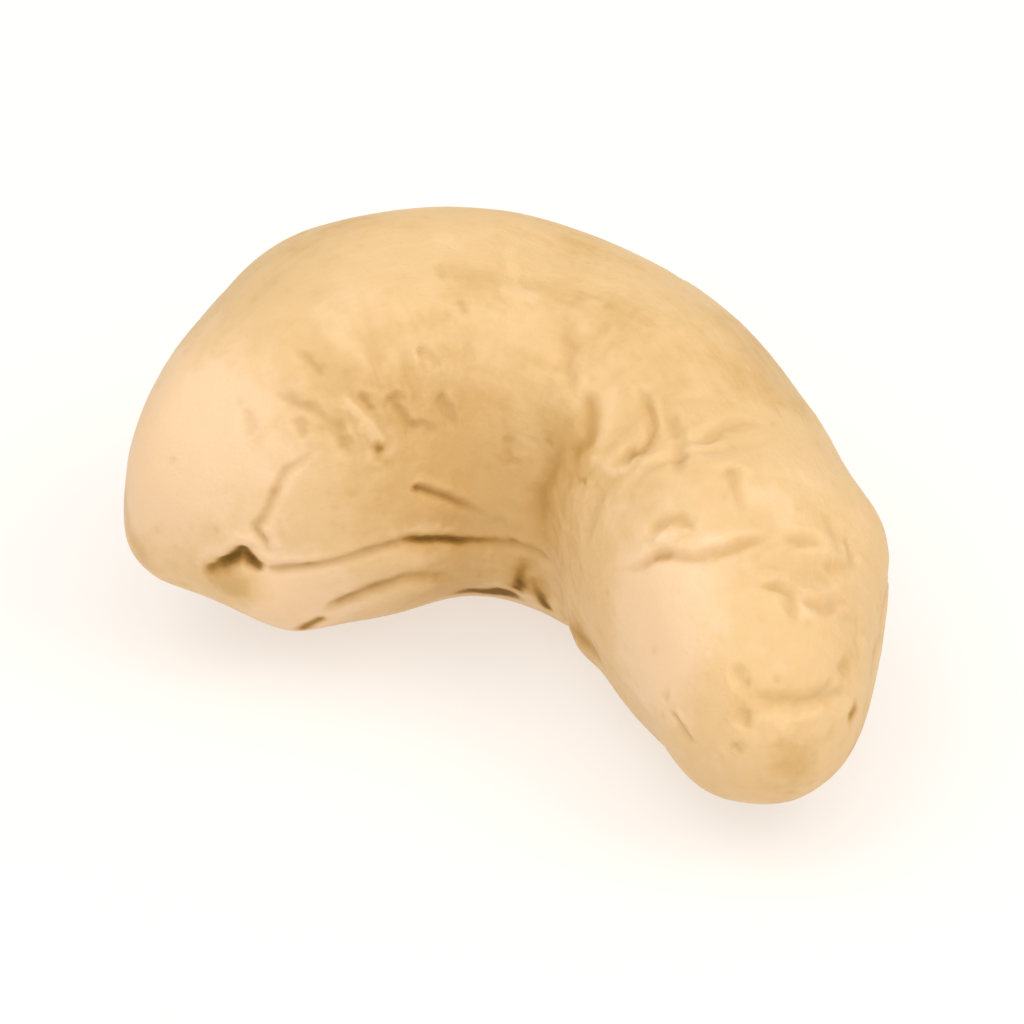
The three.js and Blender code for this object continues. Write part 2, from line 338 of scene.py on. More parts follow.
# Where the skin is browner, or paler with a negative strength. Most zones are the toasting's own
# colour. Some paint light and shade: the belly wall, the notch, the lower belly, the inner edge of
# the tail and the foot of the valley are browner partly as painted shade in their hollows, the
# corner of the notch and the tail end are painted shade, and the cheek and the foot of the nub are
# paler as painted light on the low parts.
TOASTED_AND_SHADED_ZONES = {
    "belly wall": ([0.42, 168], 3, 0.7),
    "notch": ([0.61, 178], 1.8, 0.5),
    "top band": ([0.25, 62], 2.2, 0.25),
    "back of the bend": ([0.72, 45], 4, 0.28),
    "tail end": ([0.95, 10], 2.4, 0.08),
    "tail flank": ([0.93, 148], 2.6, -0.75),
    "lower belly": ([0.36, 208], 1.3, 0.6),
    "germ tip": ([0.024, 216], 0.8, 0.75),
    "inner edge of the tail": ([0.785, 196], 1, 0.25),
    "corner of the notch": ([0.61, 202], 0.7, 0.9),
    "tip of the tail": ([0.996, 17], 1.2, 0.35),
    "tip crease": ([0.981, 106], 0.9, 0.3),
    "foot of the valley": ([0.685, 143], 1, 0.8),
    "top of the bend": ([0.6, 95], 2, 0.35),
    "tail top": ([0.9, 71], 1.6, -0.2),
    "wall above the nub": ([0.1, 172], 1.4, 0.25),
    "cheek": ([0.02, 90], 3.6, -0.8),
    "foot of the nub": ([0.08, 214], 2.2, -0.7),
}

# Faint wrinkles scattered over the back and the underside. Each pair is a range to draw from.
WRINKLE_COUNT = 70
WRINKLE_SEED = 5
WRINKLED_SHARES = [0.06, 0.94]
WRINKLED_DEGREES = [225, 415]
WRINKLE_LENGTHS = [0.8, 2.6]
WRINKLE_DEPTHS = [0.03, 0.1]
WRINKLE_HALF_WIDTHS = [0.14, 0.26]
WRINKLE_BROWNINGS = [0.04, 0.16]
WRINKLE_LEANS = [-0.8, 0.8]
WRINKLE_BEND = 0.12
WRINKLE_PLACES = 5
WRINKLE_LIMITS = [0.02, 0.98]

# About what a millimetre on the skin comes to
SHARE_PER_MM = 0.03
DEGREES_PER_MM = 9.5

# Half widths from a line at which it no longer shapes the skin
LINE_REACH = 3.6

# Fineness of the lines: millimetres between the places of a wire, the fewest that it has, and
# how many measure its length or lie along a stretch of seam
WIRE_STEP = 0.05
FEWEST_PLACES = 6
MEASURING_PLACES = 60
SEAM_PLACES = 24

# Fineness of the sums over the spine, and the step that a slope is taken over
RING_SAMPLES = 4000
SPINE_SAMPLES = 400
SLOPE_STEP = 0.002


def bezier(handles, share):
    """The value of a Bezier curve at each share; a handle is a number or a row of numbers."""
    share = np.asarray(share, float)
    row = [np.multiply.outer(np.ones_like(share), handle) for handle in handles]
    if row[0].ndim > share.ndim:
        share = share[..., None]
    while len(row) > 1:
        row = [a + (b - a) * share for a, b in zip(row, row[1:])]
    return row[0]


def unit(vectors):
    return vectors / np.linalg.norm(vectors, axis=-1, keepdims=True)


def cap_fullness(share):
    """1 along the kernel, rounding off to 0 at both ends."""
    germ = np.maximum(0, 1 - share / GERM_CAP) ** CAP_POWER
    tail = np.maximum(0, 1 - (1 - share) / TAIL_CAP) ** CAP_POWER
    return ((1 - germ) * (1 - tail)) ** (1 / CAP_POWER)


def squared_reach(turned, share, forward, backward):
    """Reach from the spine to two opposite sides; turned is the cosine towards the first."""
    squared = np.sign(turned) * np.abs(turned) ** (2 / SECTION_POWER)
    return squared * np.where(turned > 0, bezier(forward, share), bezier(backward, share))


def ring_reach(share, angle):
    """How far the smooth kernel reaches from its spine, across and upward."""
    fullness = cap_fullness(share)
    across = squared_reach(np.cos(angle), share, BACK_REACH, BELLY_REACH) * fullness
    upward = squared_reach(np.sin(angle), share, RISE, DROP) * fullness
    return across, upward


def smooth_point(share, angle):
    """The smooth kernel: a squared oval ring at each share of the spine, closing at both ends."""
    share, angle = np.broadcast_arrays(np.asarray(share, float), np.asarray(angle, float))
    heading = unit(bezier(np.diff(np.array(SPINE)[:, :2], axis=0), share))
    outward = np.stack([-heading[..., 1], heading[..., 0], np.zeros_like(share)], axis=-1)
    across, upward = ring_reach(share, angle)
    flat = bezier(SPINE, share) + outward * across[..., None]
    return flat + upward[..., None] * np.array([0.0, 0.0, 1.0])


def smooth_normal(share, angle):
    inner = np.clip(share, SLOPE_STEP, 1 - SLOPE_STEP)
    half = SLOPE_STEP / 2
    along = smooth_point(inner + half, angle) - smooth_point(inner - half, angle)
    around = smooth_point(inner, angle + SLOPE_STEP) - smooth_point(inner, angle - SLOPE_STEP)
    return unit(np.cross(around, along))


def hump(points, centre, reach):
    """1 at the centre, easing to near 0 past two reaches from it."""
    distance = np.linalg.norm(points - centre, axis=-1)
    return np.exp(-((distance / reach) ** 2))


def swelling_height(points):
    """How far the swellings and the slow unevenness lift the smooth skin."""
    height = np.zeros(points.shape[:-1])
    for (share, degrees), rise, reach in SWELLINGS.values():
        height += rise * hump(points, smooth_point(share, math.radians(degrees)), reach)
    for wave in LUMP_WAVES:
        travel = points @ np.array(wave["direction"]) / LUMP_LENGTH
        height += wave["height"] * np.sin(FULL_TURN * travel + wave["start"])
    return height


def skin_point(share, angle):
    """The kernel with its swellings, before anything is pressed into it."""
    point = smooth_point(share, angle)
    return point + smooth_normal(share, angle) * swelling_height(point)[..., None]


def zone_strength(zones, points):
    """The sum of soft round zones over the skin."""
    strength = np.zeros(len(points))
    for (share, degrees), reach, zone in zones.values():
        strength += zone * hump(points, skin_point(share, math.radians(degrees)), reach)
    return strength


def seam_turn(share):
    return np.radians(bezier(SEAM_TURN, share))


def step_lengths(path):
    """How far each point of a path lies from the one before it."""
    return np.linalg.norm(np.diff(path, axis=0), axis=-1)


def running_total(steps):
    return np.concatenate([[0], np.cumsum(steps)])


def new_mesh_object(name, points, edges=(), faces=()):
    mesh = bpy.data.meshes.new(name)
    mesh.from_pydata(*[[tuple(row) for row in rows] for rows in (points, edges, faces)])
    made = bpy.data.objects.new(name, mesh)
    bpy.context.scene.collection.objects.link(made)
    return made


def add_attribute(mesh, name, values):
    """A value for each point of a mesh: whole numbers, numbers or rows of three."""
    values = np.asarray(values)
    kind, field = ("FLOAT_VECTOR", "vector") if values.ndim == 2 else ("FLOAT", "value")
    if values.dtype.kind == "i":
        kind = "INT"
    else:
        values = values.astype(np.float32)
    mesh.attributes.new(name, kind, "POINT").data.foreach_set(field, values.ravel())


def even_shares(count):
    """Shares of the spine whose rings lie evenly over the skin, also where the ends round off."""
    fine = (1 - np.cos(np.pi * np.linspace(0, 1, RING_SAMPLES))) / 2
    sides = np.radians([0, 90, 180, 270])
    outline = smooth_point(fine[:, None], sides[None, :])
    travel = running_total(step_lengths(outline).mean(axis=-1))
    return np.interp(np.arange(1, count + 1) / (count + 1), travel / travel[-1], fine)


def ring_faces():
    """The squares between the rings, and the triangles that close both ends."""

    def at(ring, index):
        return 1 + ring * RING_POINTS + index % RING_POINTS

    ring, index = np.meshgrid(np.arange(RINGS - 1), np.arange(RING_POINTS), indexing="ij")
    ring, index = ring.ravel(), index.ravel()
    corners = [at(ring, index), at(ring, index + 1), at(ring + 1, index + 1), at(ring + 1, index)]
    faces = np.stack(corners, axis=-1).tolist()
    last = at(RINGS, 0)
    for index in range(RING_POINTS):
        faces.append([0, at(0, index + 1), at(0, index)])
        faces.append([at(RINGS - 1, index), at(RINGS - 1, index + 1), last])
    return faces


def unbent_places(share, angle):
    """Where the kernel's points would lie if its spine were straight."""
    fine = np.linspace(0, 1, SPINE_SAMPLES)
    length = running_total(step_lengths(bezier(SPINE, fine)))
    across, upward = ring_reach(share, angle)
    rings = np.stack([np.interp(share, fine, length), across, upward], axis=-1).reshape(-1, 3)
    return np.concatenate([[[0.0, 0.0, 0.0]], rings, [[length[-1], 0.0, 0.0]]])


def kernel_blank():
    """The unpressed kernel as a closed grid of rings, with its unbent places and its zones."""
    share = even_shares(RINGS)[:, None]
    turn = FULL_TURN * np.arange(RING_POINTS) / RING_POINTS
    lean = BELLY - math.radians(CROWDED_SIDE)
    crowded_turn = turn - SIDE_CROWDING * (np.sin(turn + lean) - math.sin(lean))
    angle = (BELLY + crowded_turn)[None, :] + seam_turn(share)
    share = np.broadcast_to(share, angle.shape)
    first, last = (skin_point(end, BELLY).reshape(1, 3) for end in (0.0, 1.0))
    points = np.concatenate([first, skin_point(share, angle).reshape(-1, 3), last])
    faces = ring_faces()
    blank = new_mesh_object("cashew_kernel_skin", points * MM, faces=faces)
    blank.data.polygons.foreach_set("use_smooth", [True] * len(faces))
    add_attribute(blank.data, "unbent", unbent_places(share, angle) * MM)
    add_attribute(blank.data, "folded", zone_strength(FOLDED_ZONES, points))
    add_attribute(blank.data, "toasting", zone_strength(TOASTED_AND_SHADED_ZONES, points))
    return blank


def smooth_path(path, count):
    """A curve through the places of a path, as rows of share and degrees."""
    places = np.array(path, float)
    before = 2 * places[0] - places[1]
    after = 2 * places[-1] - places[-2]
    handles = np.vstack([before, places, after])
    position = np.linspace(0, len(places) - 1, count)
    start = np.minimum(position.astype(int), len(places) - 2)
    t = (position - start)[:, None]
    a, b, c, d = (handles[start + k] for k in range(4))
    bend = (2 * a - 5 * b + 4 * c - d) * t**2
    twist = (3 * b - a - 3 * c + d) * t**3
    return 0.5 * (2 * b + (c - a) * t + bend + twist)


def ease_ends(along, share):
    """1 in the middle of a line, easing to 0 at both ends."""
    reach = np.clip(np.minimum(along, 1 - along) / share, 0, 1)
    return reach * reach * (3 - 2 * reach)


def even_values(values, along):
    """The value at each share of a line, from one value or several that lie evenly along it."""
    values = np.atleast_1d(values)
    return np.interp(along, np.linspace(0, 1, len(values)), values)


def crease_line(path, depth, half_width, browning, lean=0.0, fade=CREASE_FADE, calm=False):
    """A line to press in, with its measures at each place of its wire."""
    rough = smooth_path(path, MEASURING_PLACES)
    length = np.sum(step_lengths(skin_point(rough[:, 0], np.radians(rough[:, 1]))))
    count = max(FEWEST_PLACES, int(length / WIRE_STEP))
    along = np.linspace(0, 1, count)
    strength = ease_ends(along, fade)
    return {
        "places": smooth_path(path, count),
        "depth": even_values(depth, along) * strength,
        "half_width": half_width * (END_WIDTH + (1 - END_WIDTH) * strength),
        "browning": even_values(browning, along) * strength,
        "lean": lean,
        "calm": calm,
    }


def seam_line(side, shares, calm=True, **measures):
    """A stretch of the seam, which follows the middle of a side with the seam's own turn."""
    share = np.linspace(*shares, SEAM_PLACES)
    degrees = np.degrees(math.radians(side) + seam_turn(share))
    return crease_line(np.stack([share, degrees], axis=-1), calm=calm, **measures)


def scattered_wrinkle(chance):
    """A short faint wrinkle somewhere on the back or the underside."""
    share = chance.uniform(*WRINKLED_SHARES)
    degrees = chance.uniform(*WRINKLED_DEGREES)
    heading = chance.uniform(0, FULL_TURN)
    bends = chance.normal(0, WRINKLE_BEND, WRINKLE_PLACES)
    reach = np.linspace(0, chance.uniform(*WRINKLE_LENGTHS), WRINKLE_PLACES)
    along = reach * math.cos(heading) - bends * math.sin(heading)
    around = reach * math.sin(heading) + bends * math.cos(heading)
    path = np.stack([share + along * SHARE_PER_MM, degrees + around * DEGREES_PER_MM], axis=-1)
    path[:, 0] = np.clip(path[:, 0], *WRINKLE_LIMITS)
    depth = chance.uniform(*WRINKLE_DEPTHS)
    browning = chance.uniform(*WRINKLE_BROWNINGS)
    half_width = chance.uniform(*WRINKLE_HALF_WIDTHS)
    return crease_line(path, depth, half_width, browning, lean=chance.uniform(*WRINKLE_LEANS))


def fleck_line(place, half_width, browning):
    """A fleck: a line that is hardly longer than it is wide, at full strength to its ends."""
    share, degrees = place
    return {
        "places": np.array([[share, degrees], [share + FLECK_LENGTH, degrees]]),
        "depth": np.full(2, FLECK_DEPTH),
        "half_width": np.full(2, half_width),
        "browning": np.full(2, browning),
        "lean": 0.0,
        "calm": False,
    }


def clear_layer(layers, line, path):
    """The first layer in which a line stays clear of the others; the line is added to it."""
    reach = LINE_REACH * float(line["half_width"].max())
    for number, layer in enumerate(layers):
        gaps = [
            np.linalg.norm(path[:, None] - other[None], axis=-1).min() - other_reach
            for other, other_reach in layer["lines"]
        ]
        if layer["calm"] == line["calm"] and min(gaps) > reach:
            layer["lines"].append((path, reach))
            return number
    layers.append({"calm": line["calm"], "lines": [(path, reach)]})
    return len(layers) - 1


def all_lines():
    """Every line that is pressed into the skin, the calm ones first."""
    chance = np.random.default_rng(WRINKLE_SEED)
    lines = [seam_line(**stretch) for stretch in SEAM_STRETCHES.values()]
    lines += [crease_line(*crease, calm=True) for crease in CALM_CREASES.values()]
    lines += [crease_line(*crease) for crease in CREASES.values()]
    lines += [fleck_line(*fleck) for fleck in FLECKS.values()]
    lines += [scattered_wrinkle(chance) for _ in range(WRINKLE_COUNT)]
    return sorted(lines, key=lambda line: not line["calm"])


def press_lines():
    """All lines as one mesh of wires with their measures, and how many layers they fill.

    Lines that stay clear of each other share a layer, and are pressed in together. The layers
    of calm lines come first.
    """
    layers = []
    points, edges, numbers, measures, flaps = [], [], [], [], []
    for line in all_lines():
        first = len(points)
        share, angle = line["places"][:, 0], np.radians(line["places"][:, 1])
        path = skin_point(share, angle)
        across = unit(np.cross(smooth_normal(share, angle), unit(np.gradient(path, axis=0))))
        numbers.extend([clear_layer(layers, line, path)] * len(path))
        flaps.extend(across * line["lean"] / line["half_width"][:, None] / MM)
        points.extend(path * MM)
        edges.extend([first + i, first + i + 1] for i in range(len(path) - 1))
        sizes = [line["depth"] * MM, line["half_width"] * MM, line["browning"]]
        measures.extend(np.stack(sizes, axis=-1))
    wires = new_mesh_object("press_lines", points, edges=edges)
    add_attribute(wires.data, "layer", np.array(numbers, int))
    add_attribute(wires.data, "measures", np.array(measures))
    add_attribute(wires.data, "flap", np.array(flaps))
    return wires, len(layers), sum(layer["calm"] for layer in layers)


def add_node(tree, kind, inputs=None, **settings):
    """A node with its settings; each input is a plain value or the output that feeds it."""
    made = tree.nodes.new(kind)
    for name, value in settings.items():
        setattr(made, name, value)
    for name, value in (inputs or {}).items():
        if isinstance(value, bpy.types.NodeSocket):
            tree.links.new(value, made.inputs[name])
        else:
            made.inputs[name].default_value = value
    return made


def maths(tree, operation, *values, clamp=False):
    inputs = dict(enumerate(values))
    made = add_node(tree, "ShaderNodeMath", inputs, operation=operation, use_clamp=clamp)
    return made.outputs[0]


def vector_maths(tree, operation, first, second):
    """A vector with a second one, or with a number where it is scaled."""
    inputs = {0: first, "Scale" if operation == "SCALE" else 1: second}
    made = add_node(tree, "ShaderNodeVectorMath", inputs, operation=operation)
    return made.outputs["Value" if operation == "DOT_PRODUCT" else "Vector"]


def noise(tree, place, length, seed=None, stretch=None, output="Fac", **texture):
    """Soft noise from 0 to 1 whose lumps are about one length across."""
    if stretch:
        place = vector_maths(tree, "MULTIPLY", place, stretch)
    fed = isinstance(length, bpy.types.NodeSocket)
    scale = maths(tree, "DIVIDE", 1.0, length) if fed else 1 / length
    inputs = {"Vector": place, "Scale": scale, **texture}
    if seed is None:
        return add_node(tree, "ShaderNodeTexNoise", inputs).outputs[output]
    inputs["W"] = seed
    return add_node(tree, "ShaderNodeTexNoise", inputs, noise_dimensions="4D").outputs[output]


def spread(tree, value, low, high, to_low=0.0, to_high=1.0):
    """Stretches the band from low to high to fill another band, and holds it there."""
    inputs = {0: value, 1: low, 2: high, 3: to_low, 4: to_high}
    return add_node(tree, "ShaderNodeMapRange", inputs, clamp=True).outputs["Result"]


def new_tree(name, kind, inputs, outputs):
    """A node tree with named sockets, which are given by kind with their starting values."""
    tree = bpy.data.node_groups.new(name, kind)
    for way, kinds in (("INPUT", inputs), ("OUTPUT", outputs)):
        for socket_kind, sockets in kinds.items():
            for label, value in sockets.items():
                made = tree.interface.new_socket(label, in_out=way, socket_type=socket_kind)
                if value is not None:
                    made.default_value = value
    return tree, add_node(tree, "NodeGroupInput").outputs


def named(tree, name, kind="FLOAT"):
    made = add_node(tree, "GeometryNodeInputNamedAttribute", {"Name": name}, data_type=kind)
    return made.outputs["Attribute"]


def store(tree, geometry, **values):
    """The geometry with a number for each point under each name."""
    for name, value in values.items():
        inputs = {"Geometry": geometry, "Name": name, "Value": value}
        kind = {"data_type": "FLOAT", "domain": "POINT"}
        geometry = add_node(tree, "GeometryNodeStoreNamedAttribute", inputs, **kind).outputs["Geometry"]
    return geometry


def bell(tree, distance, width):
    """A smooth hump that is 1 on the line and near 0 past two widths from it."""
    ratio = maths(tree, "DIVIDE", distance, width)
    ratio = maths(tree, "MULTIPLY", ratio, ratio)
    return maths(tree, "EXPONENT", maths(tree, "MULTIPLY", ratio, -1.0))


# Sizes of the relief. The skin rises beside a line in a lip: its height is a share of the line's
# depth, and its place is in half widths. Calmness is the share of wander and raggedness that a
# calm line loses. The kernel sinks into its resting surface, which cuts its low spots flat.
RELIEF_SIZES = {
    "Lip Height": 0.16,
    "Lip Place": 1.9,
    "Wander": 0.38 * MM,
    "Wander Length": 1.1 * MM,
    "Calmness": 0.65,
    "Ragged Length": 0.45 * MM,
    "Ripple Height": 0.06 * MM,
    "Ripple Length": 2.0 * MM,
    "Fold Height": 0.1 * MM,
    "Fold Length": 1.6 * MM,
    "Streak Height": 0.008 * MM,
    "Streak Length": 0.8 * MM,
    "Pore Depth": 0.02 * MM,
    "Pore Radius": 0.13 * MM,
    "Pore Spacing": 1.9 * MM,
    "Rest Sink": 0.12 * MM,
}

# Bands of noise and what they become: a line's edge goes from wider to narrower, and its depth
# from shallower to deeper
RAGGED_BAND = (0.4, 0.6, -0.25, 0.35)
PATCHY_BAND = (0.35, 0.6, -0.5, 0.2)

# Width of the brown and painted shade in a line as a share of its own, and how much paler its
# raised lips are, as a painted highlight
BROWN_WIDTH = 0.8
LIP_PALING = -0.8

# Stretch of each pattern along the spine, across and upward, and how steep and twisted folds are
RIPPLE_STRETCH = (0.7, 1.0, 1.0)
FOLD_STRETCH = (1.0, 0.45, 0.45)
FINE_FOLD_STRETCH = (1.0, 0.7, 0.7)
STREAK_STRETCH = (0.22, 1.0, 1.0)
FOLD_STEEPNESS = 6.0
FOLD_TWIST = 0.6

# Length and height of the fine folds, as shares of the main ones
FINE_FOLD_LENGTH = 0.55
FINE_FOLD_HEIGHT = 0.12

# Pores strewn on each square metre, before their spacing thins them out
PORES_STREWN = 900000.0


def press_layers(tree, given):
    """Adds up the relief and the browning, partly painted shade, of all lines, one layer after the other.
    """
    wires = add_node(tree, "GeometryNodeObjectInfo", {"Object": given["Press Lines"]})
    position = add_node(tree, "GeometryNodeInputPosition").outputs["Position"]
    wander_noise = {"length": given["Wander Length"], "seed": given["Seed"]}
    sway = noise(tree, position, **wander_noise, output="Color", Detail=2.5)
    sway = vector_maths(tree, "SUBTRACT", sway, (0.5, 0.5, 0.5))
    patchy = spread(tree, noise(tree, position, **wander_noise, Detail=2.0), *PATCHY_BAND)
    ragged = noise(tree, position, given["Ragged Length"], given["Seed"], Detail=0.5)
    ragged = spread(tree, ragged, *RAGGED_BAND)

    begin = add_node(tree, "GeometryNodeRepeatInput")
    end = add_node(tree, "GeometryNodeRepeatOutput")
    begin.pair_with_output(end)
    tree.links.new(given["Layer Count"], begin.inputs["Iterations"])
    tree.links.new(store(tree, given["Skin"], relief=0.0, browning=0.0), begin.inputs["Geometry"])
    number = begin.outputs["Iteration"]
    calm = maths(tree, "LESS_THAN", number, given["Calm Layers"])
    unrest = maths(tree, "SUBTRACT", 1.0, maths(tree, "MULTIPLY", calm, given["Calmness"]))
    edge = maths(tree, "MULTIPLY_ADD", ragged, unrest, 1.0)
    strength = maths(tree, "MULTIPLY_ADD", patchy, unrest, 1.0)
    sway = vector_maths(tree, "SCALE", sway, maths(tree, "MULTIPLY", given["Wander"], unrest))
    swayed = vector_maths(tree, "ADD", position, sway)

    pair = {2: named(tree, "layer", "INT"), 3: number}
    same = add_node(tree, "FunctionNodeCompare", pair, data_type="INT", operation="EQUAL")
    inputs = {"Geometry": wires.outputs["Geometry"], "Selection": same.outputs["Result"]}
    layer = add_node(tree, "GeometryNodeSeparateGeometry", inputs, domain="POINT")
    lines = layer.outputs["Selection"]
    inputs = {"Geometry": lines, "Sample Position": swayed}
    nearest = add_node(tree, "GeometryNodeProximity", inputs, target_element="EDGES").outputs
    place = add_node(tree, "GeometryNodeSampleNearest", inputs, domain="POINT").outputs["Index"]

    def there(name):
        """What the nearest wire holds under a name."""
        kind = "FLOAT_VECTOR"
        inputs = {"Geometry": lines, "Value": named(tree, name, kind), "Index": place}
        made = add_node(tree, "GeometryNodeSampleIndex", inputs, data_type=kind, domain="POINT")
        return made.outputs["Value"]

    depth, width, brown = add_node(tree, "ShaderNodeSeparateXYZ", {0: there("measures")}).outputs
    beside = vector_maths(tree, "SUBTRACT", swayed, nearest["Position"])
    side = vector_maths(tree, "DOT_PRODUCT", beside, there("flap"))
    side = maths(tree, "MINIMUM", maths(tree, "MAXIMUM", side, -1.0), 1.0)
    distance = maths(tree, "MULTIPLY", nearest["Distance"], edge)
    from_lip = maths(tree, "SUBTRACT", maths(tree, "DIVIDE", distance, width), given["Lip Place"])
    lip = maths(tree, "MULTIPLY", bell(tree, from_lip, 1.0), given["Lip Height"])
    lip = maths(tree, "MULTIPLY_ADD", lip, side, lip)
    shape = maths(tree, "SUBTRACT", lip, bell(tree, distance, width))
    depth = maths(tree, "MULTIPLY", depth, strength)
    relief = maths(tree, "MULTIPLY_ADD", shape, depth, named(tree, "relief"))
    # The brown of the line, partly painted shade, with paler lips beside it as a painted highlight
    brown_line = bell(tree, distance, maths(tree, "MULTIPLY", width, BROWN_WIDTH))
    brown_line = maths(tree, "MULTIPLY_ADD", lip, LIP_PALING, brown_line)
    brown_line = maths(tree, "MULTIPLY", brown_line, brown)
    browning = maths(tree, "ADD", named(tree, "browning"), brown_line)
    pressed = store(tree, begin.outputs["Geometry"], relief=relief, browning=browning)
    tree.links.new(pressed, end.inputs["Geometry"])
    return end.outputs["Geometry"]


def fold_net(tree, place, length, seed, stretch):
    """A net of fine valleys, 0 between them and -1 at their bottoms."""
    level = noise(tree, place, length, seed, stretch, Detail=2.0, Distortion=FOLD_TWIST)
    away = maths(tree, "ABSOLUTE", maths(tree, "SUBTRACT", level, 0.5))
    away = maths(tree, "MINIMUM", maths(tree, "MULTIPLY", away, FOLD_STEEPNESS), 1.0)
    return maths(tree, "SUBTRACT", away, 1.0)


def fine_relief(tree, given):
    """The height of the ripples, folds, streaks and pores, then the folds and pores alone."""
    unbent = named(tree, "unbent", "FLOAT_VECTOR")
    seed = given["Seed"]
    fold = fold_net(tree, unbent, given["Fold Length"], seed, FOLD_STRETCH)
    fine_length = maths(tree, "MULTIPLY", given["Fold Length"], FINE_FOLD_LENGTH)
    fine_fold = fold_net(tree, unbent, fine_length, seed, FINE_FOLD_STRETCH)
    fold = maths(tree, "MULTIPLY_ADD", fine_fold, FINE_FOLD_HEIGHT, fold)
    fold = maths(tree, "MULTIPLY", fold, named(tree, "folded"))
    inputs = {
        "Mesh": given["Skin"],
        "Distance Min": given["Pore Spacing"],
        "Density Max": PORES_STREWN,
        "Seed": seed,
    }
    scatter = "GeometryNodeDistributePointsOnFaces"
    pores = {"Geometry": add_node(tree, scatter, inputs, distribute_method="POISSON").outputs["Points"]}
    nearest = add_node(tree, "GeometryNodeProximity", pores, target_element="POINTS")
    pore = bell(tree, nearest.outputs["Distance"], given["Pore Radius"])

    def swell(name, stretch):
        """A noise that swings to both sides of 0, and its height."""
        level = noise(tree, unbent, given[name + " Length"], seed, stretch, Detail=2.0)
        height = maths(tree, "MULTIPLY", given[name + " Height"], 2.0)
        return maths(tree, "SUBTRACT", level, 0.5), height

    height = maths(tree, "MULTIPLY", *swell("Ripple", RIPPLE_STRETCH))
    height = maths(tree, "MULTIPLY_ADD", fold, given["Fold Height"], height)
    height = maths(tree, "MULTIPLY_ADD", *swell("Streak", STREAK_STRETCH), height)
    height = maths(tree, "SUBTRACT", height, maths(tree, "MULTIPLY", pore, given["Pore Depth"]))
    return height, fold, pore


def cut_rest_spots(tree, skin, sink):
    """Lowers the skin by the sink, and flattens what then lies under the surface."""
    position = add_node(tree, "GeometryNodeInputPosition").outputs["Position"]
    x, y, z = add_node(tree, "ShaderNodeSeparateXYZ", {0: position}).outputs
    z = maths(tree, "MAXIMUM", maths(tree, "SUBTRACT", z, sink), 0.0)
    flat = add_node(tree, "ShaderNodeCombineXYZ", {"X": x, "Y": y, "Z": z}).outputs["Vector"]
    made = add_node(tree, "GeometryNodeSetPosition", {"Geometry": skin, "Position": flat})
    return made.outputs["Geometry"]


def relief_tree():
    """Presses the lines into a skin, then adds its fine ripples, folds, streaks and pores."""
    tree, given = new_tree("kernel_relief", "GeometryNodeTree", {
        "NodeSocketGeometry": {"Skin": None},
        "NodeSocketObject": {"Press Lines": None},
        "NodeSocketMaterial": {"Skin Finish": None},
        "NodeSocketInt": {"Layer Count": 1, "Calm Layers": 0, "Seed": 1},
        "NodeSocketFloat": RELIEF_SIZES,
    }, {"NodeSocketGeometry": {"Kernel": None}})
    height, fold, pore = fine_relief(tree, given)
    skin = store(tree, press_layers(tree, given), pore=pore, fold_line=fold)
    height = maths(tree, "ADD", height, named(tree, "relief"))
    normal = add_node(tree, "GeometryNodeInputNormal").outputs["Normal"]
    offset = vector_maths(tree, "SCALE", normal, height)
    lifted = add_node(tree, "GeometryNodeSetPosition", {"Geometry": skin, "Offset": offset})
    skin = cut_rest_spots(tree, lifted.outputs["Geometry"], given["Rest Sink"])
    finish = {"Geometry": skin, "Material": given["Skin Finish"]}
    finished = add_node(tree, "GeometryNodeSetMaterial", finish).outputs["Geometry"]
    real = add_node(tree, "GeometryNodeRealizeInstances", {"Geometry": finished})
    add_node(tree, "NodeGroupOutput", {"Kernel": real.outputs["Geometry"]})
    return tree


def bake_tree(target, tree, values):
    """Runs a tree on a piece with the given inputs and keeps the result as a plain mesh."""
    modifier = target.modifiers.new(tree.name, "NODES")
    modifier.node_group = tree
    items = tree.interface.items_tree
    sockets = {item.name: item.identifier for item in items if item.in_out == "INPUT"}
    for name, value in values.items():
        modifier[sockets[name]] = value
    bpy.context.view_layer.update()
    evaluated = target.evaluated_get(bpy.context.evaluated_depsgraph_get())
    baked = bpy.data.meshes.new_from_object(evaluated)
    target.modifiers.remove(modifier)
    old = target.data
    target.data = baked
    bpy.data.meshes.remove(old)
    baked.name = target.name


# Size of the toasting's clouds, mottle, lengthwise streaks and speckles
CLOUD_LENGTH = 5.5 * MM
MOTTLE_LENGTH = 1.3 * MM
BROWN_STREAK_LENGTH = 0.55 * MM
BROWN_STREAK_STRETCH = (0.25, 1.0, 1.0)
SPECKLE_LENGTH = 0.42 * MM
SPECKLE_BAND = (0.55, 0.85)
MIDDLE_TOASTING = 0.5


